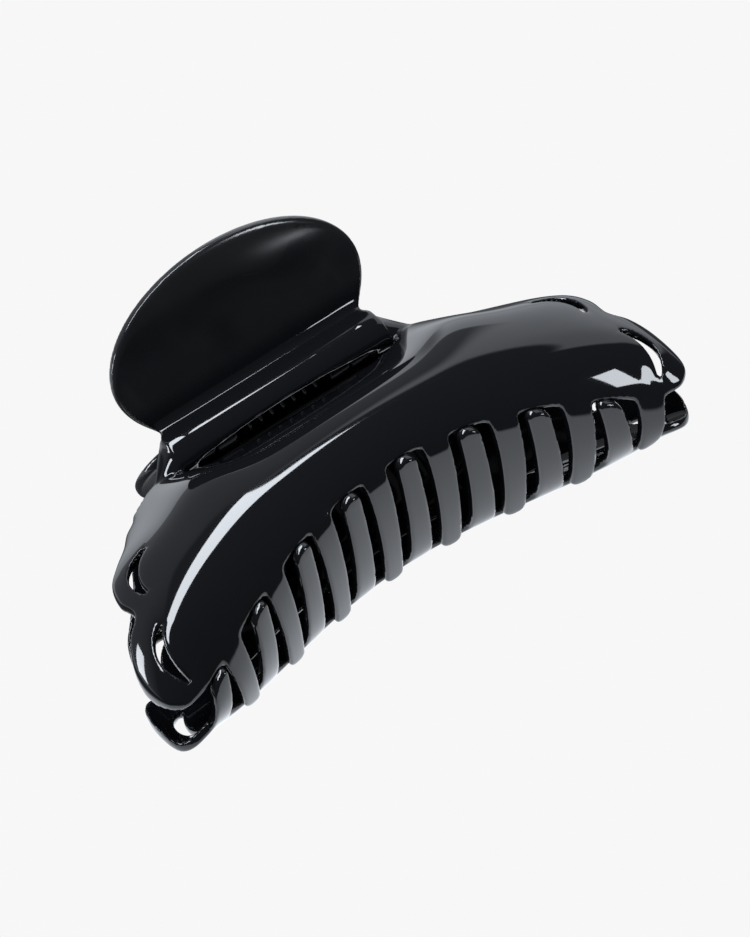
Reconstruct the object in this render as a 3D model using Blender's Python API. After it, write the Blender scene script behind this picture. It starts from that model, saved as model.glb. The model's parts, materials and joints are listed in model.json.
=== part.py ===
"""Large hair claw clip: two identical sprung jaws on a hinge pin.

The jaws are drawn around the hinge axis, which is X: +Y points towards the
two paddles, -Y towards the teeth and +Z up through the upper jaw.  The lower
jaw is the upper jaw turned half a turn about Y, so the two rows of teeth
interleave.  The whole clip is then tilted about the hinge axis to the
attitude in which it lies on a table, on its lower paddle and upper teeth, and
set down with the bottom centre of its bounding box at the origin.
Dimensions are in millimetres and degrees; meshes are built in metres.
"""
from math import cos, exp, hypot, pi, radians, sin, sqrt

import bmesh
import bpy
from mathutils import Matrix, Vector

MM = 0.001
REST_TILT = 13.0                # turn about +X from the drawn frame to the resting attitude
HINGE_AT = (0.0, 15.46, 25.78)  # puts the bottom centre of the clip's box at the origin

# Shell of a jaw: outer skin, seen along Z
SHEET = 2.2                     # wall of shell, teeth and paddle
CROWN_HEIGHT = 19.4             # skin height over the mid plane at the centre
CROWN_HALF_LENGTH = 62.6        # where the crown curve would reach the mid plane
CROWN_POWER = 5.0               # how square the crown is along X
RIM_Y = (-39.7, -17.4, 4.5)     # rim of the shell: terms in (x / 50) to the 0, 2 and 4
RIM_Z = (15.6, -6.0, -3.0)
RIM_REACH = 50.0
RIM_LEVEL_FROM = 51.0           # beyond this the rim falls no further
APEX_Y = (-23.0, -11.0)         # crest line between back slope and front slope
FRONT_POWER = 2.5               # how late the front slope falls to the rim
BACK_SLOPE = 0.88               # rise of the back slope per millimetre
BACK_Y = (-4.4, -4.6)           # foot of the back slope: terms in (x / 46) to the 0 and 4
BACK_REACH = 46.0
SHOULDER = (2.6, 28.0, 7.0)     # the foot reaches back to the hinge here: reach, X, spread
FOOT_HEIGHT = 0.5               # skin height at that foot
CREST_BLEND = 8.0               # rounding between back slope and crown
PARTING = 0.2                   # half the gap between the two jaws' back edges

# Slot between hinge cover and shell
SLOT_HALF_LENGTH = 25.0
SLOT_EDGE_Y = (-9.2, 2.6)       # shell edge along the slot: middle, and gain at its ends

# Scalloped ends of the shell, as seen along Z, from back edge to rim
END_OUTLINE = (
    (38.5, -6.4), (42.4, -10.6), (45.8, -16.4), (49.8, -20.6), (53.2, -24.6),
    (54.8, -29.8), (54.5, -34.9), (57.6, -37.5), (59.9, -41.5), (60.6, -46.6),
    (59.6, -51.5), (56.6, -54.9))
STRAIGHT_TO = 34.0              # beyond this the grid bends to follow the scallops
END_COLUMNS = (50.0, 53.4)      # grid columns between the last tooth and the end

# Crescent slits in the two scallops: centre, radius, first and last angle, half width
SLITS = (
    ((43.5, -31.3), 7.1, 80.0, -18.0, 0.9),
    ((48.5, -46.3), 6.8, 52.0, -38.0, 0.9))
SLIT_TAPER = (0.12, 0.92)       # part of a half sine wave that a slit's width follows
SLIT_CUT = (1.0, 30.0)          # heights between which the wall is cut through

# Teeth
TEETH = 8
PITCH = 13.5
FIRST_TOOTH = -3.25             # position of the first tooth, in pitches
ROOT_WIDTH = 5.2
TIP_WIDTH = 4.3
TIP_PITCH = 13.1                # the teeth lean inwards
TIP_LEAN = 0.27
TIP_OUTSET = 0.9                # how far the tip's skin stands outside the opposite rim
TIP_WALL = 1.2
TIP_REACH = -0.6                # how far the tip passes the opposite rim
TIP_ROUNDING = 0.92             # how nearly round the end of a tooth is
ROOT_BEND = 3.0                 # bend from shell into tooth
TOOTH_BULGE = 2.2               # outward belly of a tooth

# Hinge
COVER_RADIUS = 5.0
COVER_WALL = 1.8
COVER_SPAN = (162.0, 76.0)      # cover from its lower edge to the valley, from +Y over +Z
COVER_ARCH = 20.0               # its lower edge is arched upwards by this angle at the middle
COVER_HALF_LENGTH = 24.6
BOSS_X = (21.6, 31.0)           # the bosses at the cover's ends run out into the shell
BOSS_RADII = ((3.3, 4.9), (0.9, 2.2))   # inner and outer radius at those two places
BOSS_SPAN = (32.0, 174.0)       # they keep out of the sector swept when the clip opens
KNUCKLE_RADIUS = 2.85
KNUCKLE_BORE = 1.3
KNUCKLES = ((-20.6, -16.0), (11.0, 15.6))
WEB_RADII = (2.0, 4.0)          # webs join the knuckles to the cover
WEB_SPAN = (75.0, 140.0)
WEB_INSET = 0.3
PIN_RADIUS = 1.0
PIN_HALF_LENGTH = 24.0
PIN_CHAMFER = 0.3

# Paddle: an oval plate, leaning out from the hinge
PADDLE_TILT = 69.0
PADDLE_CENTRE = (9.2, 13.5)     # Y and Z of the oval's centre on the outer face
PADDLE_HALF_WIDTH = 28.3
PADDLE_HALF_HEIGHT = 18.0
PADDLE_TOP = 0.985              # the plate stops at this part of the half height
NECK_HALF_WIDTH = 21.8
NECK_HEIGHT = 4.9               # outer face height where the plate leaves the valley
VALLEY = (4.0, 4.1)             # Y and Z of the valley between cover and plate

# Torsion spring
WIRE_RADIUS = 0.5
COIL_RADIUS = 2.2
COIL_TURNS = 7
COIL_HALF_LENGTH = 8.6
LEG_ANGLE = 34.0
LEG_BEND_AT = 8.7
LEG_BEND_RADIUS = 1.0
LEG_LENGTH = 8.0

# Mesh density
SHELL_ROWS = 18
TOOTH_ROWS = 7
COVER_ROWS = 5
PADDLE_ROWS = 10
PLATE_COLUMNS = 14
ARC_STEPS = 12
ROUND_SIDES = 32
COIL_STEPS = 18
WIRE_SIDES = 8


def clear_scene():
    for obj in list(bpy.data.objects):
        bpy.data.objects.remove(obj, do_unlink=True)


def even_terms(terms, ratio, powers=(0, 2, 4)):
    return sum(term * ratio ** power for term, power in zip(terms, powers))


def rim_y(x):
    return even_terms(RIM_Y, x / RIM_REACH)


def rim_z(x):
    return even_terms(RIM_Z, min(abs(x), RIM_LEVEL_FROM) / RIM_REACH)


def foot_y(x):
    """Where the back slope comes down to its foot."""
    reach, at, spread = SHOULDER
    return (even_terms(BACK_Y, x / BACK_REACH, (0, 4))
            + reach * exp(-((abs(x) - at) / spread) ** 2))


def soft_min(a, b, blend):
    overlap = max(blend - abs(a - b), 0.0) / blend
    return min(a, b) - overlap * overlap * blend / 4


def skin_height(x, y):
    """Height of the shell's outer skin over the mid plane."""
    crown = CROWN_HEIGHT * sqrt(max(1 - (abs(x) / CROWN_HALF_LENGTH) ** CROWN_POWER, 0.0))
    apex = even_terms(APEX_Y, x / RIM_REACH, (0, 2))
    foot = foot_y(x)
    forward = max((apex - y) / (apex - rim_y(x)), 0.0)
    crown -= max(crown - rim_z(x), 0.0) * forward ** FRONT_POWER
    slope = FOOT_HEIGHT + BACK_SLOPE * (foot - y)
    return soft_min(slope, crown, CREST_BLEND)


def skin_normal(x, y, step=0.05):
    dx = (skin_height(x + step, y) - skin_height(x - step, y)) / (2 * step)
    dy = (skin_height(x, y + step) - skin_height(x, y - step)) / (2 * step)
    return Vector((-dx, -dy, 1.0)).normalized()


def smooth_curve(points, t):
    """Catmull-Rom curve through the points, t from 0 to 1."""
    last = len(points) - 1
    place = min(max(t, 0.0), 1.0) * last
    i = min(int(place), last - 1)
    u = place - i
    p1 = Vector(points[i])
    p2 = Vector(points[i + 1])
    p0 = Vector(points[i - 1]) if i > 0 else 2 * p1 - p2
    p3 = Vector(points[i + 2]) if i + 2 <= last else 2 * p2 - p1
    return (2 * p1 + (p2 - p0) * u + (2 * p0 - 5 * p1 + 4 * p2 - p3) * u * u
            + (3 * p1 - p0 - 3 * p2 + p3) * u ** 3) / 2


def back_edge_y(x):
    """Back edge of the shell: along the slot, then along the parting line."""
    foot = foot_y(x)
    if abs(x) >= SLOT_HALF_LENGTH:
        return foot
    along = abs(x) / SLOT_HALF_LENGTH
    return min(SLOT_EDGE_Y[0] + SLOT_EDGE_Y[1] * along ** 2, foot)


def shell_point(rim_x, v):
    """Outer skin point for a column that meets the rim at rim_x, v from back edge to rim."""
    side = 1.0 if rim_x >= 0 else -1.0
    reach = abs(rim_x)
    inner_x = min(reach, STRAIGHT_TO)
    y = back_edge_y(inner_x) + v * (rim_y(inner_x) - back_edge_y(inner_x))
    x = inner_x
    if reach > STRAIGHT_TO:
        end = smooth_curve(END_OUTLINE, v)
        share = (reach - STRAIGHT_TO) / (END_OUTLINE[-1][0] - STRAIGHT_TO)
        x = STRAIGHT_TO + share * (end.x - STRAIGHT_TO)
        y = y + share * (end.y - y)
        straight_rim = rim_y(STRAIGHT_TO) + share * (END_OUTLINE[-1][1] - rim_y(STRAIGHT_TO))
        y += (rim_y(reach) - straight_rim) * v * v
    return Vector((side * x, y, skin_height(x, y)))


def shell_pair(rim_x, v):
    """Outer and inner point of the shell wall."""
    outer = shell_point(rim_x, v)
    normal = skin_normal(outer.x, outer.y)
    inner = outer - SHEET * normal
    if inner.z < PARTING:
        run = (outer.z - PARTING) / max(normal.z, 0.2)
        level = outer - normal * run
        inner = Vector((level.x, level.y - (SHEET - run) / max(normal.y, 0.5), PARTING))
    return outer, inner


def tooth_pair(number, across, along):
    """Outer and inner point of a tooth; across -1 to 1, along 0 at the rim to 1 at the tip."""
    place = FIRST_TOOTH + number
    root_x = PITCH * place + across * ROOT_WIDTH / 2
    tip_centre = TIP_PITCH * place - TIP_LEAN * (place / 3) ** 3
    tip_x = tip_centre + across * TIP_WIDTH / 2
    root, root_inner = shell_pair(root_x, 1.0)
    tip_y = rim_y(tip_x) - TIP_OUTSET
    tip_z = -TIP_REACH - rim_z(tip_centre)
    rounding = 1 - sqrt(1 - (across * TIP_ROUNDING) ** 2)
    tip_z += rounding * TIP_WIDTH / 2
    drop = Vector((0.0, -ROOT_BEND, -ROOT_BEND))
    p0 = root
    p1 = root + drop
    p2 = Vector((tip_x, tip_y - TOOTH_BULGE, tip_z * 0.25))
    p3 = Vector((tip_x, tip_y, tip_z))
    a = along
    outer = (p0 * (1 - a) ** 3 + 3 * p1 * a * (1 - a) ** 2
             + 3 * p2 * a * a * (1 - a) + p3 * a ** 3)
    tangent = (3 * (p1 - p0) * (1 - a) ** 2 + 6 * (p2 - p1) * a * (1 - a)
               + 3 * (p3 - p2) * a * a)
    inward = Vector((0.0, -tangent.z, tangent.y)).normalized()
    inner = outer + inward * (SHEET + (TIP_WALL - SHEET) * along ** 2)
    if along == 0:
        inner = root_inner
    return outer, inner


def sheet_mesh(name, cells, place):
    """Closed wall from a set of grid cells; place(i, j) gives an outer and an inner point."""
    keys = sorted({(i + di, j + dj) for i, j in cells for di in (0, 1) for dj in (0, 1)})
    index = {key: n for n, key in enumerate(keys)}
    count = len(keys)
    pairs = [place(*key) for key in keys]
    verts = [outer * MM for outer, _ in pairs] + [inner * MM for _, inner in pairs]
    faces = []
    for i, j in cells:
        ring = [index[i, j], index[i, j + 1], index[i + 1, j + 1], index[i + 1, j]]
        faces.append(ring)
        faces.append([n + count for n in reversed(ring)])
        sides = (((i - 1, j), 0), ((i, j + 1), 1), ((i + 1, j), 2), ((i, j - 1), 3))
        for neighbour, edge in sides:
            if neighbour not in cells:
                a, b = ring[edge], ring[(edge + 1) % 4]
                faces.append([b, a, a + count, b + count])
    mesh = bpy.data.meshes.new(name)
    mesh.from_pydata(verts, [], faces)
    flat_triangles(mesh)
    return mesh


def flat_triangles(mesh):
    """Flat triangles, facing out."""
    bm = bmesh.new()
    bm.from_mesh(mesh)
    bmesh.ops.triangulate(bm, faces=bm.faces)
    bmesh.ops.recalc_face_normals(bm, faces=bm.faces)
    if bm.calc_volume(signed=True) < 0:
        bmesh.ops.reverse_faces(bm, faces=bm.faces)
    bm.to_mesh(mesh)
    bm.free()


def shell_columns():
    """Rim positions of the grid columns, and which columns carry each tooth."""
    columns = [-END_OUTLINE[-1][0], -END_COLUMNS[1], -END_COLUMNS[0]]
    tooth_at = {}
    for number in range(TEETH):
        centre = PITCH * (FIRST_TOOTH + number)
        tooth_at[len(columns)] = number
        columns += [centre - ROOT_WIDTH / 2, centre, centre + ROOT_WIDTH / 2]
        if number < TEETH - 1:
            gap = PITCH - ROOT_WIDTH
            columns += [centre + ROOT_WIDTH / 2 + gap / 3, centre + ROOT_WIDTH / 2 + 2 * gap / 3]
    columns.append(END_OUTLINE[-1][0])
    return columns, tooth_at


def shell_mesh():
    """Shell and teeth of the upper jaw as one wall."""
    columns, tooth_at = shell_columns()
    cells = {(i, j) for i in range(len(columns) - 1) for j in range(SHELL_ROWS)}
    for first in tooth_at:
        cells |= {(first + side, SHELL_ROWS + row)
                  for side in (0, 1) for row in range(TOOTH_ROWS)}

    def place(i, j):
        if j <= SHELL_ROWS:
            return shell_pair(columns[i], j / SHELL_ROWS)
        first = max(f for f in tooth_at if f <= i)
        return tooth_pair(tooth_at[first], i - first - 1, (j - SHELL_ROWS) / TOOTH_ROWS)

    return sheet_mesh("shell", cells, place)


def on_circle(radius, degrees):
    return radius * cos(radians(degrees)), radius * sin(radians(degrees))


def cover_angles():
    """Stations around the cover, from its lower edge to the valley."""
    first, last = COVER_SPAN
    return [first + (last - first) * k / COVER_ROWS for k in range(COVER_ROWS + 1)]


def handle_profile():
    """Outer line of hinge cover, valley and paddle in the YZ plane, slot edge first."""
    points = [on_circle(COVER_RADIUS, angle) for angle in cover_angles()]
    points.append(VALLEY)
    tilt = radians(PADDLE_TILT)
    y0, z0 = PADDLE_CENTRE
    first = (NECK_HEIGHT - z0) / sin(tilt)
    heights = [first + (PADDLE_HALF_HEIGHT * PADDLE_TOP - first) * sin(k * pi / 2 / PADDLE_ROWS)
               for k in range(PADDLE_ROWS + 1)]
    points += [(y0 + s * cos(tilt), z0 + s * sin(tilt)) for s in heights]
    return points


def oval_half_width(z):
    offset = (z - PADDLE_CENTRE[1]) / sin(radians(PADDLE_TILT)) / PADDLE_HALF_HEIGHT
    return PADDLE_HALF_WIDTH * sqrt(max(1 - offset * offset, 0.0))


def handle_mesh():
    """Hinge cover, valley and paddle of the upper jaw as one wall."""
    points = handle_profile()
    rows = len(points) - 1
    valley_row = COVER_ROWS + 1

    def half_width(j):
        if j < COVER_ROWS:
            return COVER_HALF_LENGTH
        if j <= valley_row:
            return NECK_HALF_WIDTH
        return oval_half_width(points[j][1])

    def inward(j):
        before = points[max(j - 1, 0)]
        after = points[min(j + 1, rows)]
        dy, dz = after[0] - before[0], after[1] - before[1]
        size = hypot(dy, dz)
        return Vector((0.0, dz / size, -dy / size))

    def place(i, j):
        x = half_width(j) * sin((2 * i / PLATE_COLUMNS - 1) * pi / 2)
        if j < COVER_ROWS:
            angle = cover_angles()[j]
            arch = COVER_ARCH * (1 - (x / COVER_HALF_LENGTH) ** 2) * (1 - j / (COVER_ROWS - 1))
            return (Vector((x, *on_circle(COVER_RADIUS, angle - arch))),
                    Vector((x, *on_circle(COVER_RADIUS - COVER_WALL, angle - arch))))
        outer = Vector((x, *points[j]))
        wall = COVER_WALL if j <= valley_row else SHEET
        return outer, outer + inward(j) * wall

    cells = {(i, j) for i in range(PLATE_COLUMNS) for j in range(rows)}
    return sheet_mesh("handle", cells, place)


def arc_wall(name, ends, radii, span):
    """Curved wall along X; radii gives its inner and outer radius at each of its two ends."""
    def place(i, j):
        inner, outer = radii[i]
        angle = span[0] + (span[1] - span[0]) * j / ARC_STEPS
        return (Vector((ends[i], *on_circle(outer, angle))),
                Vector((ends[i], *on_circle(inner, angle))))

    return sheet_mesh(name, {(0, j) for j in range(ARC_STEPS)}, place)


def ring_mesh(name, x0, x1, inner_r, outer_r):
    """Plain tube along X."""
    bm = bmesh.new()
    loops = []
    for x, radius in ((x0, inner_r), (x0, outer_r), (x1, outer_r), (x1, inner_r)):
        loops.append([bm.verts.new(Vector((x, *on_circle(radius, 360 * k / ROUND_SIDES))) * MM)
                      for k in range(ROUND_SIDES)])
    for ring, after in zip(loops, loops[1:] + loops[:1]):
        for k in range(ROUND_SIDES):
            m = (k + 1) % ROUND_SIDES
            bm.faces.new((ring[k], ring[m], after[m], after[k]))
    mesh = bpy.data.meshes.new(name)
    bm.to_mesh(mesh)
    bm.free()
    flat_triangles(mesh)
    return mesh


def crescent_mesh(name, side, centre, radius, first, last, half_width):
    """Cutter for one slit: a crescent seen along Z, tall enough to pass through the wall."""
    low, high = SLIT_CUT

    def place(i, j):
        share = j / ARC_STEPS
        taper = sin(pi * (SLIT_TAPER[0] + (SLIT_TAPER[1] - SLIT_TAPER[0]) * share))
        reach = radius + half_width * taper * (1 - 2 * i)
        x, y = on_circle(reach, first + (last - first) * share)
        x = side * (centre[0] + x)
        y = centre[1] + y
        return Vector((x, y, high)), Vector((x, y, low))

    return sheet_mesh(name, {(0, j) for j in range(ARC_STEPS)}, place)


def helper(mesh):
    """Operand of a Boolean: kept out of the model."""
    obj = bpy.data.objects.new(mesh.name, mesh)
    bpy.context.scene.collection.objects.link(obj)
    obj.hide_render = True
    obj.display_type = 'WIRE'
    return obj


def combine(target, other, operation):
    modifier = target.modifiers.new(other.name, 'BOOLEAN')
    modifier.operation = operation
    modifier.solver = 'EXACT'
    modifier.object = other


def jaw_mesh():
    """One moulded jaw: shell with teeth, hinge cover, paddle and two knuckles."""
    target = helper(shell_mesh())
    added = [handle_mesh()]
    for side in (-1, 1):
        ends = [side * x for x in BOSS_X]
        added.append(arc_wall("boss_%d" % side, ends, BOSS_RADII, BOSS_SPAN))
    for number, (x0, x1) in enumerate(KNUCKLES):
        added.append(ring_mesh("knuckle_%d" % number, x0, x1, KNUCKLE_BORE, KNUCKLE_RADIUS))
        added.append(arc_wall("web_%d" % number, (x0 + WEB_INSET, x1 - WEB_INSET),
                              (WEB_RADII, WEB_RADII), WEB_SPAN))
    cut = [crescent_mesh("slit_%d_%d" % (side, n), side, *slit)
           for side in (-1, 1) for n, slit in enumerate(SLITS)]
    helpers = [helper(mesh) for mesh in added + cut]
    for n, other in enumerate(helpers):
        combine(target, other, 'UNION' if n < len(added) else 'DIFFERENCE')
    graph = bpy.context.evaluated_depsgraph_get()
    mesh = bpy.data.meshes.new_from_object(target.evaluated_get(graph))
    for obj in [target] + helpers:
        bpy.data.objects.remove(obj, do_unlink=True)
    mesh.name = "jaw"
    weld(mesh)
    return mesh


def weld(mesh):
    bm = bmesh.new()
    bm.from_mesh(mesh)
    bmesh.ops.remove_doubles(bm, verts=bm.verts, dist=0.00001)
    bmesh.ops.dissolve_degenerate(bm, edges=bm.edges, dist=0.00001)
    bm.to_mesh(mesh)
    bm.free()


def pin_mesh():
    """Steel hinge pin with chamfered ends."""
    bm = bmesh.new()
    stations = ((-PIN_HALF_LENGTH, PIN_RADIUS - PIN_CHAMFER),
                (-PIN_HALF_LENGTH + PIN_CHAMFER, PIN_RADIUS),
                (PIN_HALF_LENGTH - PIN_CHAMFER, PIN_RADIUS),
                (PIN_HALF_LENGTH, PIN_RADIUS - PIN_CHAMFER))
    loops = []
    for x, radius in stations:
        loops.append([bm.verts.new(Vector((x, *on_circle(radius, 360 * k / ROUND_SIDES))) * MM)
                      for k in range(ROUND_SIDES)])
    for ring, after in zip(loops, loops[1:]):
        for k in range(ROUND_SIDES):
            m = (k + 1) % ROUND_SIDES
            bm.faces.new((ring[k], ring[m], after[m], after[k]))
    bm.faces.new(loops[0])
    bm.faces.new(loops[-1])
    mesh = bpy.data.meshes.new("hinge_pin")
    bm.to_mesh(mesh)
    bm.free()
    flat_triangles(mesh)
    return mesh


def spring_path():
    """Centre line of the torsion spring: lower leg, coil, upper leg."""
    tilt = radians(PADDLE_TILT)
    lean = radians(LEG_ANGLE)
    start = -pi / 2 + lean
    away = Vector((0.0, cos(lean), sin(lean)))
    foot = Vector((COIL_HALF_LENGTH, *on_circle(COIL_RADIUS, LEG_ANGLE - 90)))
    knee = foot + away * LEG_BEND_AT
    toe = knee + Vector((0.0, cos(tilt), sin(tilt))) * LEG_LENGTH
    onward = (toe - knee).normalized()
    upper_leg = [(foot + knee) / 2, knee - away * LEG_BEND_RADIUS,
                 knee + onward * LEG_BEND_RADIUS, toe]
    steps = COIL_STEPS * COIL_TURNS
    coil = []
    for k in range(steps + 1):
        share = k / steps
        angle = start * (2 * share - 1) + 2 * pi * COIL_TURNS * share
        x = COIL_HALF_LENGTH * (2 * share - 1)
        coil.append(Vector((x, COIL_RADIUS * cos(angle), COIL_RADIUS * sin(angle))))
    lower_leg = [Vector((-p.x, p.y, -p.z)) for p in reversed(upper_leg)]
    return lower_leg + coil + upper_leg


def tube_mesh(name, path, radius, sides):
    """Round wire along a path, with closed ends."""
    bm = bmesh.new()
    loops = []
    normal = Vector((1.0, 0.0, 0.0))
    for n, point in enumerate(path):
        before = path[max(n - 1, 0)]
        after = path[min(n + 1, len(path) - 1)]
        tangent = (after - before).normalized()
        normal = (normal - tangent * normal.dot(tangent)).normalized()
        side = tangent.cross(normal)
        loops.append([bm.verts.new((point + radius * (cos(2 * pi * k / sides) * normal
                                                      + sin(2 * pi * k / sides) * side)) * MM)
                      for k in range(sides)])
    for ring, after in zip(loops, loops[1:]):
        for k in range(sides):
            m = (k + 1) % sides
            bm.faces.new((ring[k], ring[m], after[m], after[k]))
    bm.faces.new(loops[0])
    bm.faces.new(loops[-1])
    mesh = bpy.data.meshes.new(name)
    bm.to_mesh(mesh)
    bm.free()
    flat_triangles(mesh)
    return mesh


def plain_material(name, colour, roughness, metallic):
    material = bpy.data.materials.new(name)
    material.use_nodes = True
    shader = material.node_tree.nodes["Principled BSDF"]
    shader.inputs["Base Color"].default_value = (*colour, 1.0)
    shader.inputs["Roughness"].default_value = roughness
    shader.inputs["Metallic"].default_value = metallic
    return material


def add_piece(name, mesh, material, parent, turned=False):
    obj = bpy.data.objects.new(name, mesh)
    bpy.context.scene.collection.objects.link(obj)
    obj.parent = parent
    if turned:
        obj.matrix_basis = Matrix.Rotation(pi, 4, 'Y')
    if not mesh.materials:
        mesh.materials.append(material)
    mesh.shade_smooth()
    mesh.set_sharp_from_angle(angle=radians(35))
    return obj


def build():
    clear_scene()
    hinge = bpy.data.objects.new("hinge_axis", None)
    bpy.context.scene.collection.objects.link(hinge)
    hinge.location = Vector(HINGE_AT) * MM
    hinge.rotation_euler.x = radians(REST_TILT)
    plastic = plain_material("black_gloss_plastic", (0.008, 0.009, 0.011), 0.06, 0.0)
    steel = plain_material("spring_steel", (0.55, 0.55, 0.56), 0.28, 1.0)
    jaw = jaw_mesh()
    add_piece("upper_jaw", jaw, plastic, hinge)
    add_piece("lower_jaw", jaw, plastic, hinge, turned=True)
    add_piece("hinge_pin", pin_mesh(), steel, hinge)
    spring = tube_mesh("torsion_spring", spring_path(), WIRE_RADIUS, WIRE_SIDES)
    add_piece("torsion_spring", spring, steel, hinge)


build()
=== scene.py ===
"""Studio picture of a large black hair claw clip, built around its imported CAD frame.

The two jaws are remodelled as smooth moulded surfaces.  A jaw is described by
a distance-like field in millimetres, in the "drawn" frame: hinge axis along X
through the origin, +Y towards the paddles, +Z up through the upper jaw.  The
field is turned into a mesh and the mesh is then tilted to the frame's resting
attitude.  Pin and spring get fine round meshes of their own.
"""
import json
from math import cos, pi, radians, sin

import bpy
import numpy as np
from mathutils import Matrix, Vector


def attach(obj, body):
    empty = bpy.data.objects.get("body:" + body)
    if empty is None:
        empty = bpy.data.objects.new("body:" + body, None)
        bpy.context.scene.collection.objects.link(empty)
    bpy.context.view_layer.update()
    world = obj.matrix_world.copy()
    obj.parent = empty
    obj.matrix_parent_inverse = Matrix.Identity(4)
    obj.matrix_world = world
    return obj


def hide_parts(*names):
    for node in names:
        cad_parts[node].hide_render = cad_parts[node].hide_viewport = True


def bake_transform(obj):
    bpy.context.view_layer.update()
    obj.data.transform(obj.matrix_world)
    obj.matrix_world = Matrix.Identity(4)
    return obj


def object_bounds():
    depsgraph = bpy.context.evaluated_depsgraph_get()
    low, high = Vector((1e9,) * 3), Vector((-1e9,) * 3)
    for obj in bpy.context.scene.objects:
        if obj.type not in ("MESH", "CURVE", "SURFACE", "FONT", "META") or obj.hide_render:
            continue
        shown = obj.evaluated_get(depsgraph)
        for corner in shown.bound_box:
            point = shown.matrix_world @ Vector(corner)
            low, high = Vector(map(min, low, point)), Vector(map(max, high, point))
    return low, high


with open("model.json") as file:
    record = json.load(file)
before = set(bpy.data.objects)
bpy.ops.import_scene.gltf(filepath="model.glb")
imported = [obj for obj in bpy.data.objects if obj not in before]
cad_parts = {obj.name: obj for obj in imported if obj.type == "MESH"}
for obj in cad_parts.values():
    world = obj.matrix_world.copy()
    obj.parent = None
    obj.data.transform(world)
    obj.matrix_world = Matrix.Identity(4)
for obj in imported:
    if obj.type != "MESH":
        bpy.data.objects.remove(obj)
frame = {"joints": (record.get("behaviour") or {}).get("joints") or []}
cad_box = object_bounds()
HINGE = np.array(frame["joints"][0]["pos_m"])
FLOOR_Z = cad_box[0].z

MM = 0.001
REST_TILT = radians(13.0)       # turn about +X from the drawn frame to the row frame
OUTSIDE = 9.0                   # field values that stand for "well outside"
FAR_OUTSIDE = 99.0

# Outer skin of the shell: a crown that falls to the rim in front, and a slope behind
CROWN_HEIGHT = 19.6
CROWN_SWELL = (0.75, 26.0)      # extra height in the middle: height, spread along X
CROWN_HALF_LENGTH = 62.6
CROWN_POWER = 5.0
CROWN_LEAST = 0.02
RIM_Y = (-39.7, -17.4, 4.5)     # terms in (x / RIM_REACH) to the powers 0, 2 and 4
RIM_Z = (15.6, -6.0, -3.0)
RIM_REACH = 50.0
RIM_LEVEL_FROM = 51.0           # the rim falls no further beyond this
RIM_LEVEL_ROUND = 1.0
APEX_Y = (-26.0, -12.0)         # terms to the powers 0 and 2
FRONT_POWER = 2.5
FRONT_LIMIT = 2.0
BACK_FALL = 0.011               # how fast the crown drops behind its apex
BACK_SLOPE = 1.0
BACK_Y = (-4.8, -4.6)           # foot of the slope: terms in (x / BACK_REACH), powers 0 and 4
BACK_REACH = 46.0
SHOULDER = (3.6, 29.0, 8.0)     # where the foot reaches back to the hinge: reach, X, spread
FOOT_HEIGHT = 0.5
CREST_ROUND = 3.4

# Walls and edges of the shell
SHEET = 2.2
RIM_ROUND = 2.6
EDGE_ROUND = 0.55
CORNER_ROUND = 1.5              # where the scalloped ends meet the rim
RIM_SLANT = 0.70
SHARP_ROUND = 0.3
SLIT_ROUND = 0.1
PARTING = 0.15                  # clearance of the back edges from the mid plane
PARTING_ROUND = 0.2
PARTING_SPARES = 6.0            # the teeth, this near the rim, may cross the mid plane

# Slot between hinge cover and shell
SLOT_HALF_LENGTH = 25.0
SLOT_EDGE_Y = (-9.2, 2.6)
SLOT_EDGE_LIMIT = 1.2
SLOT_ROUND = 1.2

# Scalloped ends of the shell, seen along Z, from back edge to rim
END_OUTLINE = (
    (36.0, 4.0), (38.0, -6.4), (42.0, -11.0), (45.6, -16.4), (49.6, -20.6), (53.0, -24.6),
    (54.6, -29.8), (54.4, -34.8), (57.6, -37.4), (59.9, -41.4), (60.6, -46.4),
    (59.6, -51.4), (56.4, -54.8), (52.0, -62.0))
END_FROM = 30.0                 # nearer the middle the outline has no effect
END_DEPTH = 40.0

# Crescent slits: centre, radius, first and last angle in degrees, half width
SLITS = (
    ((43.5, -31.3), 7.1, 80.0, -18.0, 0.9),
    ((48.5, -46.3), 6.8, 52.0, -38.0, 0.9))
SLITS_FROM = 34.0
SLIT_TAPER = (0.10, 0.80)       # part of half a sine wave that the width follows

# Teeth
TEETH = 8
PITCH = 13.5
FIRST_TOOTH = -3.25             # place of the first tooth, in pitches
ROOT_WIDTH = 5.2
TIP_WIDTH = 4.3
TIP_PITCH = 13.1
TIP_LEAN = 0.27                 # extra inward lean of the outermost tips
TIP_LEAN_PLACE = 3.0
TIP_REACH = -0.6
TOOTH_OFFSET = (0.9, -0.2, 5.6) # tooth face in front of the rim: terms 1, u and u(1 - u)
TOOTH_SLANT = 0.93
TOOTH_OVERLAP = 2.0             # how far the strips run into the shell
TOOTH_END_ROUND = 0.5
TIP_ROUND = 1.9
GAP_ROUND = 1.1

# Handle: hinge cover, valley and paddle
COVER_RADIUS = 4.88
COVER_WALL = 1.8
COVER_EDGE_ANGLE = 162.0
COVER_ARCH = 20.0
COVER_HALF_LENGTH = 24.6
ANGLE_FROM = -30.0              # angles about the hinge are counted from here
PADDLE_TILT = radians(69.0)
PADDLE_PLANE = 3.75             # distance of the paddle's outer face behind the hinge axis
PADDLE_MIDDLE = 15.9            # the oval's centre, along the plate from the foot of the axis
PADDLE_HALF_WIDTH = 28.3
PADDLE_HALF_HEIGHT = 18.0
NECK_HALF_WIDTH = 21.8
NECK_ROUND = 0.8
VALLEY_ROUND = 3.6
VALLEY_DEPTH = 4.0              # over this depth the paddle wall becomes the cover wall

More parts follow.
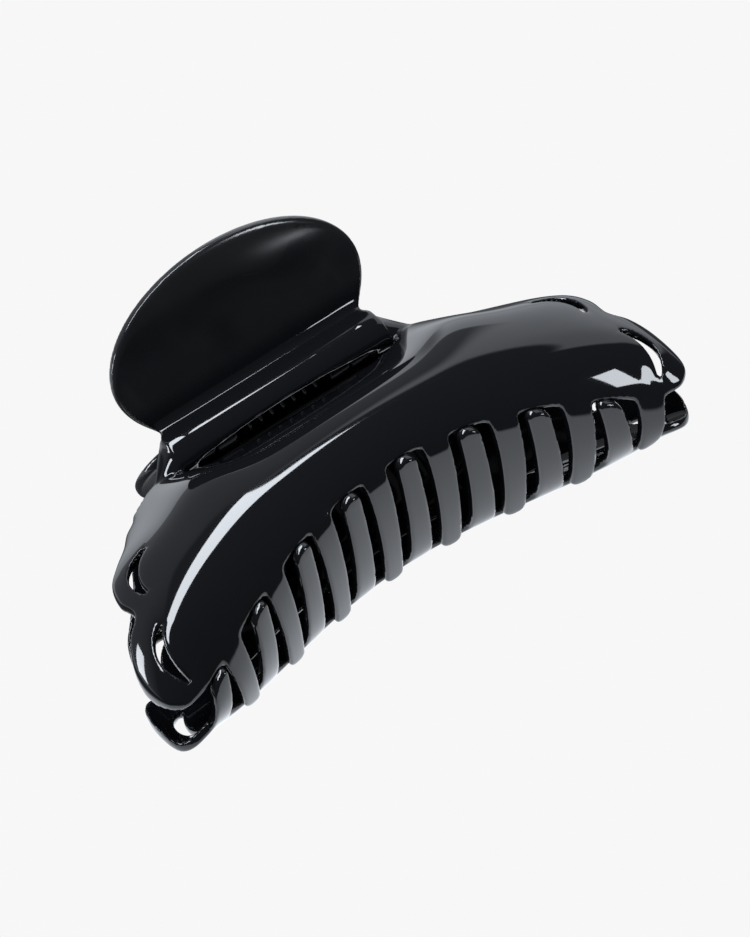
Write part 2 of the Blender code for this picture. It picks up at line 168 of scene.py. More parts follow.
# Ends of the hinge cover: they taper down and forward into the shell
BOSS_SPAN = (21.0, 31.0)
BOSS_TAPER = (24.0, 7.0)        # from, length
BOSS_TAPER_LIMIT = 1.1
BOSS_DROP = 4.6
BOSS_SHRINK = 3.9
BOSS_HALF_WALL = 0.8
BOSS_EDGE_ANGLE = 32.0
BOSS_FOOT = 0.3
BOSS_SLANT = 0.85

# Knuckles around the pin, each on a web below the cover
KNUCKLES = ((-20.6, -16.0), (11.0, 15.6))
KNUCKLE_RADII = (1.3, 2.85)
KNUCKLE_ROUND = 0.25
WEB_RING = (3.0, 1.2)           # middle radius, half thickness
WEB_SPAN = (-0.8, 1.5)          # middle Y, half width
WEB_FRONT = (-3.0, 0.6)         # Y, slant
WEB_ROUND = 0.5
BOSS_JOIN = 0.5
HANDLE_JOIN = 0.4
KNUCKLE_JOIN = 0.3

# Meshing grid
STEP = 0.5
GRID_LOW = (-61.5, -57.5, -18.5)
GRID_HIGH = (61.5, 20.5, 33.0)

# Pin and spring
PIN_RADIUS = 1.0
PIN_HALF_LENGTH = 24.0
PIN_CHAMFER = 0.3
PIN_CREASE = radians(30.0)
WIRE_RADIUS = 0.5
WIRE_CREASE = radians(50.0)
COIL_RADIUS = 2.2
COIL_TURNS = 7
COIL_HALF_LENGTH = 8.6
COIL_STEPS = 40                 # per turn
LEG_ANGLE = radians(34.0)
LEG_BEND_AT = 8.7
LEG_BEND_RADIUS = 1.6
LEG_STEPS = 6
BEND_STEPS = 9
LEG_LENGTH = 8.0

# Black plastic; all noise scales are per metre
PLASTIC = (0.0050, 0.0053, 0.0066, 1.0)
PLASTIC_IOR = 1.52
PLASTIC_ROUGH = (0.035, 0.028)  # gain under smears, least
# Reflection is turned down within HINGE_INSIDE of the hinge axis: painted shade in the hinge recess
PLASTIC_SHINE = (0.03, 0.5)     # inside the hinge, everywhere else
HINGE_INSIDE = (0.0034, 0.0040)
WAVE_SCALE = 70.0
SMEAR_SCALE = 220.0
RUB_SCALE = 900.0
RUB_HEIGHT = 0.02
PLASTIC_BUMP = (0.04, 0.0004)   # strength, distance
DUST = (0.16, 0.16, 0.17, 1.0)
DUST_SCALE = 230.0
DUST_SIZE = 0.055
DUST_SHARE = 0.035
DUST_ROUGH = 0.5
# Painted light on the paddles: cloudy patches, away from and behind the hinge axis, get a lighter colour
# and extra roughness
PAINTED_PADDLE_LIGHT = (0.0195, 0.0200, 0.0215, 1.0)
PAINTED_LIGHT_FROM = (0.0080, 0.0130)    # distance from the hinge axis
BEHIND_HINGE = (0.0, 0.0030)
PAINTED_LIGHT_SCALE = 45.0
PAINTED_LIGHT_CLOUDS = (0.30, 0.62, 0.55, 1.0)
PAINTED_LIGHT_ROUGH = 0.09

# Blackened steel
STEEL_DARK = (0.010, 0.010, 0.011, 1.0)
STEEL_LIGHT = (0.024, 0.024, 0.025, 1.0)
STEEL_EDGE = (0.12, 0.12, 0.12, 1.0)
STEEL_ROUGH = (0.14, 0.16)      # gain under draw marks, least
MARK_SCALE = 2400.0
PATCH_SCALE = 400.0
STEEL_BUMP = (0.15, 0.0001)

# Studio; four numbers are a ramp: from, to, value there, value there
PALE = 0.93                     # what the camera sees of floor and background
WHITE = (1.0, 1.0, 1.0)
LIGHT_TINT = (0.92, 0.97, 1.04)
ALL_ROUND = 0.08
BACK_GLOW = (0.1, 0.6, 0.0, 0.27)
PANEL_GLOW = 1.05               # white panel behind the clip, to the right
PANEL_SLOPE = 1.1
PANEL_RIGHT = (1.95, 2.10)      # its lower right edge slopes
PANEL_LEFT = (2.92, 2.76)
PANEL_STEP = (0.42, 0.55, 0.0, 0.36)
PANEL_TOP = (0.90, 0.87)
PANEL_FADE = (-0.35, 0.55, 0.45, 1.1)
FLOOR_HALF = 6.0
FLOOR_DROP = 0.0003
FLOOR_GLOW_AT = (0.006, -0.03, 0.0)
FLOOR_GLOW_SHAPE = (0.6, 1.0, 0.0)
FLOOR_GLOW = (0.050, 0.066, 1.5, 0.08)
FLOOR_BEHIND = (0.05, 0.11, 0.0, 0.75)

# Lights: azimuth, elevation, distance, size, power, heading of the long side
LIGHT_AIM = Vector((0.0, -0.016, 0.038))
SOFT_BOXES = {
    "top_box": (-119.0, 78.0, 0.78, (0.86, 0.20), 9.0, 25.0),
    "front_box": (33.3, 3.85, 0.1365, (0.0224, 0.0376), 0.037, 21.0),
    "left_box": (-122.0, 10.0, 0.9, (0.10, 0.36), 1.5, -122.0)}

# Camera
CAMERA_AZIMUTH = radians(-23.427)
CAMERA_ELEVATION = radians(37.882)
CAMERA_ROLL = radians(-17.715)
CAMERA_TARGET = (8.27, -15.95, -14.59)      # from the hinge, in millimetres
CAMERA_DISTANCE = 0.7567
CAMERA_LENS = 190.03
CAMERA_SENSOR = 36.0
CAMERA_NEAR = 0.01


# ---------------------------------------------------------------- fields

def smooth_max(a, b, k):
    return 0.5 * (a + b + np.sqrt((a - b) ** 2 + k * k))


def smooth_min(a, b, k):
    return 0.5 * (a + b - np.sqrt((a - b) ** 2 + k * k))


def even_terms(terms, ratio, powers=(0, 2, 4)):
    return sum(term * ratio ** power for term, power in zip(terms, powers))


def rim_y(x):
    return even_terms(RIM_Y, x / RIM_REACH)


def rim_z(x):
    reach = np.sqrt(x * x + 1e-9)
    level = smooth_min(reach, RIM_LEVEL_FROM, RIM_LEVEL_ROUND)
    return even_terms(RIM_Z, level / RIM_REACH)


def foot_y(x):
    reach, at, spread = SHOULDER
    return (even_terms(BACK_Y, x / BACK_REACH, (0, 4))
            + reach * np.exp(-((np.abs(x) - at) / spread) ** 2))


def skin_height(x, y):
    """Height of the shell's outer skin over the mid plane."""
    run = np.clip(1 - (np.abs(x) / CROWN_HALF_LENGTH) ** CROWN_POWER, CROWN_LEAST, None)
    swell, spread = CROWN_SWELL
    crown = CROWN_HEIGHT * np.sqrt(run) + swell * np.exp(-(x / spread) ** 2)
    apex = even_terms(APEX_Y, x / RIM_REACH, (0, 2))
    forward = np.clip((apex - y) / (apex - rim_y(x)), 0.0, FRONT_LIMIT)
    crown = crown - np.clip(crown - rim_z(x), 0.0, None) * forward ** FRONT_POWER
    crown = crown - BACK_FALL * np.clip(y - apex, 0.0, None) ** 2
    slope = FOOT_HEIGHT + BACK_SLOPE * (foot_y(x) - y)
    return smooth_min(slope, crown, CREST_ROUND)


def shell_skin(x, y, z, step=0.02):
    """Signed distance to the shell's outer skin, positive above it."""
    h = skin_height(x, y)
    hx = (skin_height(x + step, y) - h) / step
    hy = (skin_height(x, y + step) - h) / step
    return (z - h) / np.sqrt(1 + hx * hx + hy * hy)


def tooth_share(x, z):
    """0 at the rim, 1 at the tooth tips."""
    top = rim_z(x)
    return (top - z) / (2 * top + TIP_REACH)


def tooth_skin(x, y, z):
    """Signed distance to the surface that carries all tooth faces, positive in front of it."""
    u = tooth_share(x, z)
    start, gain, belly = TOOTH_OFFSET
    face = rim_y(x) - (start + gain * u + belly * u * (1 - u))
    return (face - y) * TOOTH_SLANT


def spline(points, per_span=10):
    """Catmull-Rom curve through the points, as a polyline."""
    p = np.array(points, float)
    p = np.vstack((2 * p[0] - p[1], p, 2 * p[-1] - p[-2]))
    u = np.linspace(0, 1, per_span, endpoint=False)[:, None]
    spans = []
    for a, b, c, d in zip(p, p[1:], p[2:], p[3:]):
        spans.append((2 * b + (c - a) * u + (2 * a - 5 * b + 4 * c - d) * u * u
                      + (3 * b - a - 3 * c + d) * u ** 3) / 2)
    return np.vstack(spans + [p[-2:-1]])


def polyline_side(x, y, line):
    """Distance to an open polyline, negative on its left."""
    best = np.full(x.shape, 1e9)
    sign = np.ones(x.shape)
    for (ax, ay), (bx, by) in zip(line, line[1:]):
        ex, ey = bx - ax, by - ay
        t = np.clip(((x - ax) * ex + (y - ay) * ey) / (ex * ex + ey * ey), 0, 1)
        dx, dy = x - ax - t * ex, y - ay - t * ey
        d = dx * dx + dy * dy
        nearer = d < best
        best = np.where(nearer, d, best)
        sign = np.where(nearer, np.where(ex * dy - ey * dx > 0, -1.0, 1.0), sign)
    return np.sqrt(best) * sign


END_LINE = spline(END_OUTLINE)


def end_mask(x, y):
    """Negative inside the scalloped ends."""
    reach = np.abs(x)
    mask = np.where(reach < END_FROM, reach - END_DEPTH, 0.0)
    near = reach >= END_FROM
    mask[near] = -polyline_side(reach[near], y[near], END_LINE)
    return mask


def slit_mask(x, y):
    """Negative inside the crescent slits."""
    mask = np.full(x.shape, OUTSIDE)
    near = np.abs(x) > SLITS_FROM
    ax, ay = np.abs(x[near]), y[near]
    best = np.full(ax.shape, OUTSIDE)
    start, length = SLIT_TAPER
    for (cx, cy), radius, first, last, half in SLITS:
        r = np.hypot(ax - cx, ay - cy)
        angle = np.degrees(np.arctan2(ay - cy, ax - cx))
        share = (angle - first) / (last - first)
        taper = np.sin(pi * np.clip(start + length * share, 0, 1))
        band = np.abs(r - radius) - half * taper
        ends = radius * np.radians(np.maximum(angle - first, last - angle))
        best = np.minimum(best, smooth_max(band, ends, SHARP_ROUND))
    mask[near] = best
    return mask


def teeth_mask(x, z):
    """Negative inside the eight tooth strips, as seen from the front."""
    u = tooth_share(x, z)
    width = ROOT_WIDTH + (TIP_WIDTH - ROOT_WIDTH) * u
    beside = np.full(x.shape, FAR_OUTSIDE)
    for number in range(TEETH):
        place = FIRST_TOOTH + number
        tip = TIP_PITCH * place - TIP_LEAN * (place / TIP_LEAN_PLACE) ** 3
        centre = PITCH * place + (tip - PITCH * place) * u
        beside = np.minimum(beside, np.abs(x - centre) - width / 2)
    a = beside + TIP_ROUND
    b = -rim_z(x) - TIP_REACH - z + TIP_ROUND
    return (np.hypot(np.maximum(a, 0), np.maximum(b, 0))
            + np.minimum(np.maximum(a, b), 0) - TIP_ROUND)


def back_mask(x, y):
    """Negative in front of the edge that the slot beside the hinge cover leaves."""
    along = np.clip(np.abs(x) / SLOT_HALF_LENGTH, 0, SLOT_EDGE_LIMIT)
    edge = y - even_terms(SLOT_EDGE_Y, along, (0, 2))
    end = SLOT_HALF_LENGTH - np.abs(x)
    return smooth_min(edge, end, SLOT_ROUND)


def shell_field(x, y, z):
    """One shell with its teeth, slits, scalloped ends and back edge."""
    skin = smooth_max(shell_skin(x, y, z), tooth_skin(x, y, z), RIM_ROUND)
    wall = np.abs(skin + SHEET / 2) - SHEET / 2
    beyond_rim = ((rim_y(x) - y) + (rim_z(x) - z)) * RIM_SLANT
    outline = smooth_max(end_mask(x, y), beyond_rim, CORNER_ROUND)
    strips = smooth_max(teeth_mask(x, z), -beyond_rim - TOOTH_OVERLAP, TOOTH_END_ROUND)
    outline = smooth_min(outline, strips, GAP_ROUND)
    outline = smooth_max(outline, back_mask(x, y), SHARP_ROUND)
    outline = smooth_max(outline, -slit_mask(x, y), SLIT_ROUND)
    body = smooth_max(wall, outline, EDGE_ROUND)
    under = np.minimum(PARTING - z, y - rim_y(x) - PARTING_SPARES)
    return smooth_max(body, under, PARTING_ROUND)


def paddle_oval(x, up):
    """Distance to the paddle's oval outline."""
    ex, eu = x / PADDLE_HALF_WIDTH, (up - PADDLE_MIDDLE) / PADDLE_HALF_HEIGHT
    k0 = np.hypot(ex, eu) + 1e-9
    k1 = np.hypot(ex / PADDLE_HALF_WIDTH, eu / PADDLE_HALF_HEIGHT) + 1e-9
    return k0 * (k0 - 1) / k1


def handle_field(x, y, z):
    """Hinge cover, valley and paddle."""
    ny, nz = -sin(PADDLE_TILT), cos(PADDLE_TILT)
    depth = ny * y + nz * z + PADDLE_PLANE
    up = nz * y - ny * z
    skin = smooth_min(np.hypot(y, z) - COVER_RADIUS, depth, VALLEY_ROUND)
    share = np.clip(depth / VALLEY_DEPTH, 0, 1)
    share = share * share * (3 - 2 * share)
    thick = SHEET + (COVER_WALL - SHEET) * share
    wall = np.abs(skin + thick / 2) - thick / 2
    half = NECK_HALF_WIDTH + (COVER_HALF_LENGTH - NECK_HALF_WIDTH) * share
    neck = np.maximum(np.abs(x) - half, up - PADDLE_MIDDLE)
    outline = smooth_min(paddle_oval(x, up), neck, NECK_ROUND)
    angle = np.degrees(np.arctan2(z, y))
    angle = np.where(angle < ANGLE_FROM, angle + 360, angle)
    edge = COVER_EDGE_ANGLE - COVER_ARCH * (1 - np.clip(x / COVER_HALF_LENGTH, -1, 1) ** 2)
    lower = np.radians(angle - edge) * COVER_RADIUS
    outline = smooth_max(outline, lower, SHARP_ROUND)
    return smooth_max(wall, outline, EDGE_ROUND)


def boss_field(x, y, z):
    """Ends of the hinge cover, which run out into the shell."""
    start, length = BOSS_TAPER
    along = np.clip((np.abs(x) - start) / length, 0, BOSS_TAPER_LIMIT)
    radius = COVER_RADIUS - BOSS_SHRINK * along
    r = np.hypot(y + BOSS_DROP * along, z)
    wall = np.abs(r - radius + BOSS_HALF_WALL) - BOSS_HALF_WALL
    first, last = BOSS_SPAN
    ends = np.maximum(first - np.abs(x), np.abs(x) - last)
    angle = np.degrees(np.arctan2(z, y))
    behind = np.radians(BOSS_EDGE_ANGLE - angle) * np.hypot(y, z)
    lower = np.maximum(BOSS_FOOT - z, np.where(z > 0, behind, -OUTSIDE))
    return smooth_max(wall * BOSS_SLANT, smooth_max(ends, lower, SHARP_ROUND), EDGE_ROUND)


def knuckle_field(x, y, z):
    """Rings on the pin, each hung from the cover by a web."""
    r = np.hypot(y, z)
    inner, outer = KNUCKLE_RADII
    ring = np.abs(r - (inner + outer) / 2) - (outer - inner) / 2
    front, slant = WEB_FRONT
    beside = np.maximum(slant * (front - y), np.abs(y - WEB_SPAN[0]) - WEB_SPAN[1])
    web = np.maximum(np.abs(r - WEB_RING[0]) - WEB_RING[1], beside)
    web = np.where(z > 0, web, OUTSIDE)
    section = smooth_min(ring, web, WEB_ROUND)
    best = np.full(x.shape, FAR_OUTSIDE)
    for low, high in KNUCKLES:
        side = np.abs(x - (low + high) / 2) - (high - low) / 2
        best = np.minimum(best, smooth_max(section, side, KNUCKLE_ROUND))
    return best


def jaw_field(points):
    x, y, z = points[:, 0], points[:, 1], points[:, 2]
    handle = smooth_min(handle_field(x, y, z), boss_field(x, y, z), BOSS_JOIN)
    body = smooth_min(shell_field(x, y, z), handle, HANDLE_JOIN)
    return smooth_min(body, knuckle_field(x, y, z), KNUCKLE_JOIN)


# ---------------------------------------------------------------- meshing

def sample(field, axes):
    """Field values on a grid, one layer of constant X at a time."""
    nx, ny, nz = (len(a) for a in axes)
    values = np.empty((nx, ny, nz), np.float32)
    yy, zz = np.meshgrid(axes[1], axes[2], indexing="ij")
    plane = np.stack((yy.ravel(), zz.ravel()), 1)
    for i, x in enumerate(axes[0]):
        points = np.column_stack((np.full(len(plane), x), plane))
        values[i] = field(points).reshape(ny, nz)
    return values


def surface_net(values, axes):
    """Quad mesh of the zero surface: one vertex per cell that it passes through."""
    shape = tuple(np.array(values.shape) - 1)
    total = np.zeros(shape + (3,))
    count = np.zeros(shape, np.int32)
    inside = values < 0
    quads = []
    for axis in range(3):
        low = [slice(None)] * 3
        high = [slice(None)] * 3
        low[axis] = slice(0, -1)
        high[axis] = slice(1, None)
        crossing = inside[tuple(low)] != inside[tuple(high)]
        where = np.argwhere(crossing)
        a = values[tuple(low)][crossing]
        b = values[tuple(high)][crossing]
        spot = where.astype(float)
        spot[:, axis] += a / (a - b)
        others = [o for o in range(3) if o != axis]
        keep = np.all([(where[:, o] > 0) & (where[:, o] < shape[o]) for o in others], axis=0)
        where, spot = where[keep], spot[keep]
        leaving = inside[tuple(low)][crossing][keep]
        cells = []
        for d0, d1 in ((-1, -1), (0, -1), (0, 0), (-1, 0)):
            cell = where.copy()
            cell[:, others[0]] += d0
            cell[:, others[1]] += d1
            np.add.at(total, tuple(cell.T), spot)
            np.add.at(count, tuple(cell.T), 1)
            cells.append(np.ravel_multi_index(tuple(cell.T), shape))
        quad = np.stack(cells, 1)
        turn = leaving if axis != 1 else ~leaving
        quads.append(np.where(turn[:, None], quad, quad[:, ::-1]))
    used = count > 0
    index = np.full(count.size, -1)
    index[used.ravel()] = np.arange(used.sum())
    spots = total[used] / count[used][:, None]
    verts = [np.interp(spots[:, i], np.arange(len(axes[i])), axes[i]) for i in range(3)]
    return np.stack(verts, 1), index[np.vstack(quads)]


def gradient(field, points, step=0.02):
    grads = []
    for axis in range(3):
        offset = np.zeros(3)
        offset[axis] = step
        grads.append((field(points + offset) - field(points - offset)) / (2 * step))
    return np.stack(grads, 1)


def settle(field, verts, rounds=4, reach=0.3, least=0.05):
    """Moves the vertices onto the zero surface and returns them with their normals."""
    for _ in range(rounds):
        grad = gradient(field, verts)
        size = np.maximum((grad ** 2).sum(1), least)
        move = grad * (field(verts) / size)[:, None]
        length = np.linalg.norm(move, axis=1, keepdims=True)
        verts = verts - move * np.minimum(1, reach / np.maximum(length, 1e-9))
    grad = gradient(field, verts)
    return verts, grad / np.maximum(np.linalg.norm(grad, axis=1, keepdims=True), 1e-9)


def to_mesh(name, verts, faces, normals):
    mesh = bpy.data.meshes.new(name)
    mesh.from_pydata(verts.tolist(), [], faces.tolist())
    mesh.update()
    mesh.shade_smooth()
    mesh.normals_split_custom_set_from_vertices(normals.tolist())
    return mesh


def tilt(vectors):
    """Turns directions of the drawn frame to the row frame."""
    c, s = cos(REST_TILT), sin(REST_TILT)
    turn = np.array(((1, 0, 0), (0, c, -s), (0, s, c)))
    return np.asarray(vectors, float) @ turn.T


def placed(points):
    """Drawn frame in millimetres to row frame in metres."""
    return tilt(points) * MM + HINGE


def jaw_surface():
    axes = [np.arange(low, high, STEP) for low, high in zip(GRID_LOW, GRID_HIGH)]
    verts, quads = surface_net(sample(jaw_field, axes), axes)
    return (*settle(jaw_field, verts), quads)


def add_piece(name, mesh, material, body, node):
    obj = bpy.data.objects.new(name, mesh)
    bpy.context.scene.collection.objects.link(obj)
    mesh.materials.append(material)
    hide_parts(node)
    if body:
        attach(obj, body)
    return obj


# ---------------------------------------------------------------- pin and spring

def ring_mesh(name, rings, crease):
    """Closed bar through equal rings of points, each ring right handed about the way ahead."""
    sides = len(rings[0])
    verts = np.concatenate(rings)
    faces = []
    for ring in range(len(rings) - 1):
        for k in range(sides):
            m = (k + 1) % sides
            a, b = ring * sides, (ring + 1) * sides
            faces.append((a + k, a + m, b + m, b + k))
    faces.append(tuple(reversed(range(sides))))
    faces.append(tuple(range(len(verts) - sides, len(verts))))
    mesh = bpy.data.meshes.new(name)
    mesh.from_pydata(placed(verts).tolist(), [], faces)
    mesh.shade_smooth()
    mesh.set_sharp_from_angle(angle=crease)
    return mesh


def pin_stations():
    """(x, radius) along the pin, rounded at both ends."""
    tip = []
    for angle in (pi / 2, pi / 3, pi / 6, 0.0):
        tip.append((-PIN_HALF_LENGTH + PIN_CHAMFER * (1 - sin(angle)),
                    PIN_RADIUS - PIN_CHAMFER * (1 - cos(pi / 2 - angle))))
    return tip + [(-x, r) for x, r in reversed(tip)]


def lathe(name, stations, sides=48):
    """Round bar along X through (x, radius) stations."""
    angles = np.linspace(0, 2 * pi, sides, endpoint=False)
    rings = [[(x, radius * cos(a), radius * sin(a)) for a in angles] for x, radius in stations]
    return ring_mesh(name, rings, PIN_CREASE)


def spring_line():
    """Centre line of the torsion spring: lower leg, coil, upper leg."""
    foot_angle = LEG_ANGLE - pi / 2
    foot = np.array((COIL_HALF_LENGTH, COIL_RADIUS * cos(foot_angle), COIL_RADIUS * sin(foot_angle)))
    away = np.array((0.0, cos(LEG_ANGLE), sin(LEG_ANGLE)))
    onward = np.array((0.0, cos(PADDLE_TILT), sin(PADDLE_TILT)))
    knee = foot + away * LEG_BEND_AT
    bend_in, bend_out = knee - away * LEG_BEND_RADIUS, knee + onward * LEG_BEND_RADIUS
    u = np.linspace(0, 1, BEND_STEPS)[:, None]
    bend = bend_in * (1 - u) ** 2 + 2 * knee * u * (1 - u) + bend_out * u * u
    v = np.linspace(0.1, 0.9, LEG_STEPS)[:, None]
    upper = np.vstack((foot + (bend_in - foot) * v, bend, knee + onward * LEG_LENGTH))
    share = np.linspace(0, 1, COIL_TURNS * COIL_STEPS)
    angle = foot_angle * (2 * share - 1) + 2 * pi * COIL_TURNS * share
    coil = np.stack((COIL_HALF_LENGTH * (2 * share - 1),
                     COIL_RADIUS * np.cos(angle), COIL_RADIUS * np.sin(angle)), 1)
    lower = upper[::-1] * (-1, 1, -1)
    return np.vstack((lower, coil, upper))


def tube(name, line, radius, sides=16):
    """Round wire along a centre line."""
    normal = np.array((1.0, 0.0, 0.0))
    tangents = np.gradient(line, axis=0)
    tangents /= np.linalg.norm(tangents, axis=1, keepdims=True)
    angles = np.linspace(0, 2 * pi, sides, endpoint=False)
    rings = []
    for point, tangent in zip(line, tangents):
        normal = normal - tangent * (normal @ tangent)
        normal /= np.linalg.norm(normal)
        side = np.cross(tangent, normal)
        rings.append([point + radius * (cos(a) * normal + sin(a) * side) for a in angles])
    return ring_mesh(name, rings, WIRE_CREASE)


# ---------------------------------------------------------------- materials

class Nodes:
    """Short hand for building a node tree."""

    def __init__(self, owner):
        owner.use_nodes = True
        self.tree = owner.node_tree
        self.tree.nodes.clear()

    def add(self, kind, inputs=None, **settings):
        node = self.tree.nodes.new(kind)
        for key, value in settings.items():
            setattr(node, key, value)
        for key, value in (inputs or {}).items():
            if isinstance(value, bpy.types.NodeSocket):
                self.tree.links.new(value, node.inputs[key])
            else:
                node.inputs[key].default_value = value
        return node

    def math(self, operation, a, b=0.0, c=0.0):
        return self.add("ShaderNodeMath", {0: a, 1: b, 2: c}, operation=operation).outputs[0]

    def ramp(self, value, low, high, to_low=0.0, to_high=1.0):
        node = self.add("ShaderNodeMapRange", {
            "Value": value, "From Min": low, "From Max": high, "To Min": to_low, "To Max": to_high},
            interpolation_type="SMOOTHSTEP")
        return node.outputs[0]

    def mix(self, share, low, high):
        node = self.add("ShaderNodeMix", {"Factor": share, "A": low, "B": high}, data_type="RGBA")
        return node.outputs[2]

    def noise(self, where, scale, **inputs):
        node = self.add("ShaderNodeTexNoise", {"Vector": where, "Scale": scale, **inputs})
        return node.outputs["Fac"]

    def bump(self, height, strength, distance):
        node = self.add("ShaderNodeBump", {"Height": height, "Strength": strength, "Distance": distance})
        return node.outputs["Normal"]

    def surface(self, **inputs):
        inputs = {key.replace("_", " "): value for key, value in inputs.items()}
        shader = self.add("ShaderNodeBsdfPrincipled", inputs)
        self.add("ShaderNodeOutputMaterial", {"Surface": shader.outputs["BSDF"]})


def dust_specks(n, where):
    """1 on a few small specks, 0 elsewhere."""
    cells = n.add("ShaderNodeTexVoronoi", {"Vector": where, "Scale": DUST_SCALE}).outputs
    draw = n.add("ShaderNodeTexWhiteNoise", {"Vector": cells["Position"]}, noise_dimensions="3D")
    near = n.math("LESS_THAN", cells["Distance"], DUST_SIZE)
    return n.math("MULTIPLY", near, n.math("LESS_THAN", draw.outputs["Value"], DUST_SHARE))


def gloss_plastic():
    """Polished black moulding: flow waves, rub marks, dust, and painted light on the paddles, in lighter
    and rougher patches.
    """
    material = bpy.data.materials.new("black_gloss_plastic")
    n = Nodes(material)
    where = n.add("ShaderNodeTexCoord").outputs["Object"]
    waves = n.noise(where, WAVE_SCALE, Detail=1.0)
    smears = n.noise(where, SMEAR_SCALE, Detail=4.0)
    rubs = n.noise(where, RUB_SCALE, Detail=2.0, Distortion=1.0)
    dust = dust_specks(n, where)
    rough = n.math("MULTIPLY_ADD", smears, *PLASTIC_ROUGH)
    rough = n.math("MULTIPLY_ADD", dust, DUST_ROUGH, rough)
    axes = n.add("ShaderNodeSeparateXYZ", {"Vector": where}).outputs
    behind = n.math("SUBTRACT", axes["Y"], float(HINGE[1]))
    over = n.math("SUBTRACT", axes["Z"], float(HINGE[2]))
    squares = n.math("ADD", n.math("MULTIPLY", behind, behind), n.math("MULTIPLY", over, over))
    from_axis = n.math("SQRT", squares)
    # Reflection cut close to the hinge axis: painted shade inside the hinge
    shine = n.ramp(from_axis, *HINGE_INSIDE, *PLASTIC_SHINE)
    # Painted light: the paddles are lightened in cloudy patches and roughened there too
    painted_zone = n.math("MULTIPLY", n.ramp(from_axis, *PAINTED_LIGHT_FROM), n.ramp(behind, *BEHIND_HINGE))
    clouds = n.noise(where, PAINTED_LIGHT_SCALE, Detail=1.5, Distortion=1.2)
    painted_light = n.math("MULTIPLY", painted_zone, n.ramp(clouds, *PAINTED_LIGHT_CLOUDS))
    rough = n.math("MULTIPLY_ADD", painted_light, PAINTED_LIGHT_ROUGH, rough)
    # Colour: black plastic, with the painted paddle light, then dust specks
    colour = n.mix(dust, n.mix(painted_light, PLASTIC, PAINTED_PADDLE_LIGHT), DUST)
    height = n.math("MULTIPLY_ADD", rubs, RUB_HEIGHT, waves)
    n.surface(Base_Color=colour, Roughness=rough, IOR=PLASTIC_IOR, Specular_IOR_Level=shine,
              Normal=n.bump(height, *PLASTIC_BUMP))
    return material


def black_steel():
    """Blackened spring steel, with fine draw marks that show brighter."""
    material = bpy.data.materials.new("black_steel")
    n = Nodes(material)
    where = n.add("ShaderNodeTexCoord").outputs["Object"]
    marks = n.noise(where, MARK_SCALE, Detail=3.0)
    patches = n.noise(where, PATCH_SCALE)
    rough = n.math("MULTIPLY_ADD", marks, *STEEL_ROUGH)
    colour = n.mix(patches, STEEL_DARK, STEEL_LIGHT)
    n.surface(Base_Color=colour, Roughness=rough, Metallic=1.0, Specular_Tint=STEEL_EDGE,
              Normal=n.bump(marks, *STEEL_BUMP))
    return material


# ---------------------------------------------------------------- studio

def pale_to_camera(n, glow):
    """Colour and strength: plain and pale to the camera, tinted `glow` to everything else."""
    seen = n.add("ShaderNodeLightPath").outputs["Is Camera Ray"]
    strength = n.math("MULTIPLY_ADD", seen, n.math("SUBTRACT", PALE, glow), glow)
    return {"Color": n.mix(seen, (*LIGHT_TINT, 1.0), (*WHITE, 1.0)), "Strength": strength}


def world_light():
    """Pale to the camera; to the gloss a dark room with one white panel behind the clip."""
    world = bpy.data.worlds.new("studio")
    bpy.context.scene.world = world
    n = Nodes(world)
    way = n.add("ShaderNodeTexCoord").outputs["Generated"]
    axes = n.add("ShaderNodeSeparateXYZ", {"Vector": way}).outputs
    turn = n.math("ARCTAN2", axes["X"], n.math("MULTIPLY", axes["Y"], -1.0))
    sloped = n.math("MULTIPLY_ADD", axes["Z"], PANEL_SLOPE, turn)
    stepped = n.math("ADD", turn, n.ramp(axes["Z"], *PANEL_STEP))
    panel = n.math("MULTIPLY", n.ramp(sloped, *PANEL_RIGHT), n.ramp(stepped, *PANEL_LEFT))
    panel = n.math("MULTIPLY", panel, n.ramp(axes["Z"], *PANEL_FADE))
    panel = n.math("MULTIPLY", panel, PANEL_GLOW)
    glow = n.math("ADD", panel, n.ramp(axes["Y"], *BACK_GLOW))
    glow = n.math("MULTIPLY", glow, n.ramp(axes["Z"], *PANEL_TOP))
    glow = n.math("ADD", glow, ALL_ROUND)
    background = n.add("ShaderNodeBackground", pale_to_camera(n, glow))
    n.add("ShaderNodeOutputWorld", {"Surface": background.outputs["Background"]})


def pale_floor():
    """Floor material.  What the gloss sees of it fades out away from the clip."""
    material = bpy.data.materials.new("pale_floor")
    n = Nodes(material)
    spot = n.add("ShaderNodeNewGeometry").outputs["Position"]
    offset = n.add("ShaderNodeVectorMath", {0: spot, 1: FLOOR_GLOW_AT}, operation="SUBTRACT")
    shaped = n.add("ShaderNodeVectorMath", {0: offset.outputs[0], 1: FLOOR_GLOW_SHAPE},
                   operation="MULTIPLY")
    away = n.add("ShaderNodeVectorMath", {0: shaped.outputs[0]}, operation="LENGTH").outputs["Value"]
    depth = n.add("ShaderNodeSeparateXYZ", {"Vector": spot}).outputs["Y"]
    glow = n.math("ADD", n.ramp(away, *FLOOR_GLOW), n.ramp(depth, *FLOOR_BEHIND))
    shader = n.add("ShaderNodeEmission", pale_to_camera(n, glow))
    n.add("ShaderNodeOutputMaterial", {"Surface": shader.outputs["Emission"]})
    return material


def floor():
    size = FLOOR_HALF
    mesh = bpy.data.meshes.new("floor")
    corners = [(-size, -size, 0), (size, -size, 0), (size, size, 0), (-size, size, 0)]
    mesh.from_pydata(corners, [], [(0, 1, 2, 3)])
    mesh.materials.append(pale_floor())
    obj = bpy.data.objects.new("floor", mesh)
    obj.location.z = FLOOR_Z - FLOOR_DROP
    bpy.context.scene.collection.objects.link(obj)


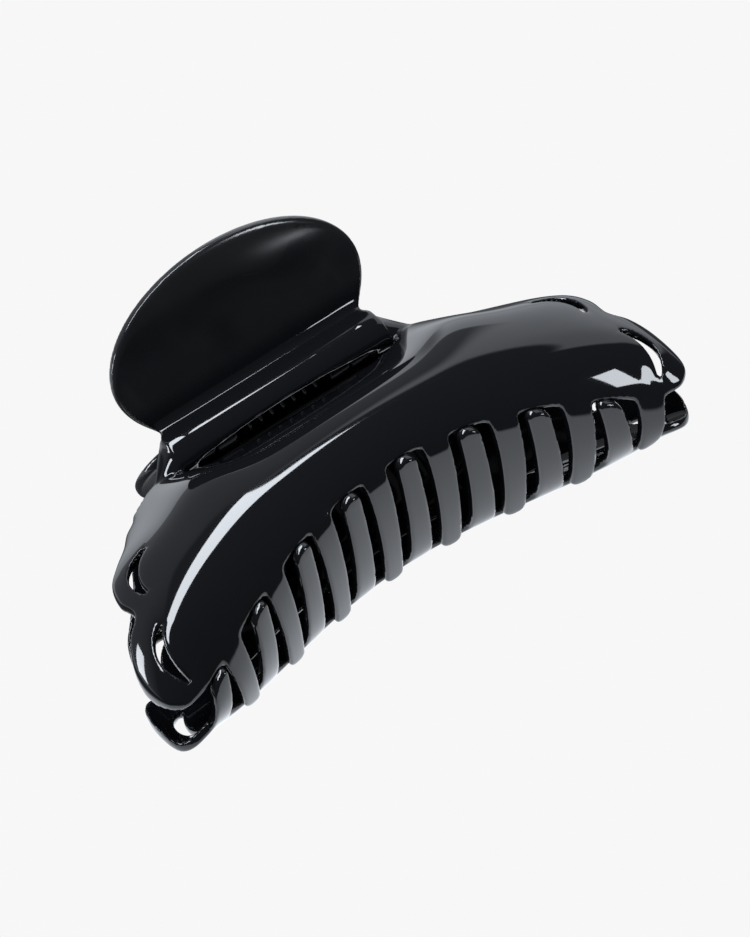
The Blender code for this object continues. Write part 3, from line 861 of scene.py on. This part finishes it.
def soft_box(name, azimuth, elevation, distance, size, power, turn):
    """Rectangular area light aimed at the clip.  Azimuth 0 is in front and 90 to the right."""
    light = bpy.data.lights.new(name, "AREA")
    light.shape = "RECTANGLE"
    light.size, light.size_y = size
    light.energy = power
    light.color = LIGHT_TINT
    obj = bpy.data.objects.new(name, light)
    a, e, t = radians(azimuth), radians(elevation), radians(turn)
    back = Vector((sin(a) * cos(e), -cos(a) * cos(e), sin(e)))
    across = back.cross(Vector((cos(t), sin(t), 0.0))).normalized()
    along = across.cross(back)
    axes = Matrix((along, across, back)).transposed().to_4x4()
    obj.matrix_world = Matrix.Translation(LIGHT_AIM + back * distance) @ axes
    obj.visible_camera = False
    bpy.context.scene.collection.objects.link(obj)


def studio_camera():
    a, e, r = CAMERA_AZIMUTH, CAMERA_ELEVATION, CAMERA_ROLL
    back = np.array((sin(a) * cos(e), -cos(a) * cos(e), sin(e)))
    level = np.array((cos(a), sin(a), 0.0))
    right = cos(r) * level + sin(r) * np.cross(back, level)
    up = np.cross(back, right)
    place = HINGE + np.array(CAMERA_TARGET) * MM + back * CAMERA_DISTANCE
    camera = bpy.data.cameras.new("camera")
    camera.sensor_width = CAMERA_SENSOR
    camera.sensor_fit = "HORIZONTAL"
    camera.lens = CAMERA_LENS
    camera.clip_start = CAMERA_NEAR
    obj = bpy.data.objects.new("camera", camera)
    matrix = np.eye(4)
    matrix[:3] = np.stack((right, up, back, place), 1)
    obj.matrix_world = Matrix(matrix.tolist())
    bpy.context.scene.collection.objects.link(obj)
    bpy.context.scene.camera = obj


# ---------------------------------------------------------------- the clip

def build():
    plastic = gloss_plastic()
    steel = black_steel()
    verts, normals, quads = jaw_surface()
    for side, flip in (("upper", (1, 1, 1)), ("lower", (-1, 1, -1))):
        name = side + "_moulding"
        mesh = to_mesh(name, placed(verts * flip), quads, tilt(normals * flip))
        add_piece(name, mesh, plastic, side, side + "_jaw")
    add_piece("pin", lathe("pin", pin_stations()), steel, "lower", "hinge_pin")
    wire = tube("spring", spring_line(), WIRE_RADIUS)
    spring = add_piece("spring", wire, steel, None, "torsion_spring")
    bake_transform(spring)


build()
world_light()
floor()
for box_name, placing in SOFT_BOXES.items():
    soft_box(box_name, *placing)
studio_camera()
bpy.context.scene.view_settings.view_transform = "Standard"
